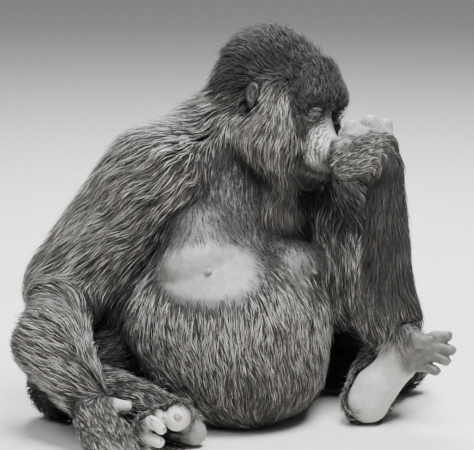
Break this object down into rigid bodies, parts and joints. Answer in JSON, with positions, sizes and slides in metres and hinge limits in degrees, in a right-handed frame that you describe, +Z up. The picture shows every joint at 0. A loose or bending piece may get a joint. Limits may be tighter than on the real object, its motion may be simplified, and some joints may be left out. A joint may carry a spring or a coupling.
{
  "type": "mountain gorilla, life-size sitting model",
  "caption": "Life-size still model of a female mountain gorilla, sitting with its legs folded and leaning its muzzle on its raised left fist.",
  "frame": {"origin": "on the floor, under the centre of the whole figure's box", "axes": "-Y is the way the chest faces, +X is the animal's left side, +Z is up"},
  "size_m": [0.9408, 0.62, 0.7949],
  "materials": {
    "coat": "long, coarse, near-black hair with greyer tips, in locks that follow the lie of the coat",
    "skin": "charcoal-grey bare skin, creased, slightly shiny on the muzzle, fingers and soles",
    "eye": "dark brown, wet and glossy",
    "nail": "dark horn, smooth"
  },
  "bodies": {
    "root": {"eye_left": "eye", "eye_right": "eye", "ear_left": "skin", "ear_right": "skin", "head": "coat", "neck": "coat", "trunk": "coat", "thigh_left": "coat", "thigh_right": "coat", "shin_left": "coat", "shin_right": "coat", "foot_left": "skin", "foot_right": "skin", "upper_arm_left": "coat", "upper_arm_right": "coat", "forearm_left": "coat", "forearm_right": "coat", "hand_left": "skin", "hand_right": "skin"}
  },
  "joints": []
}
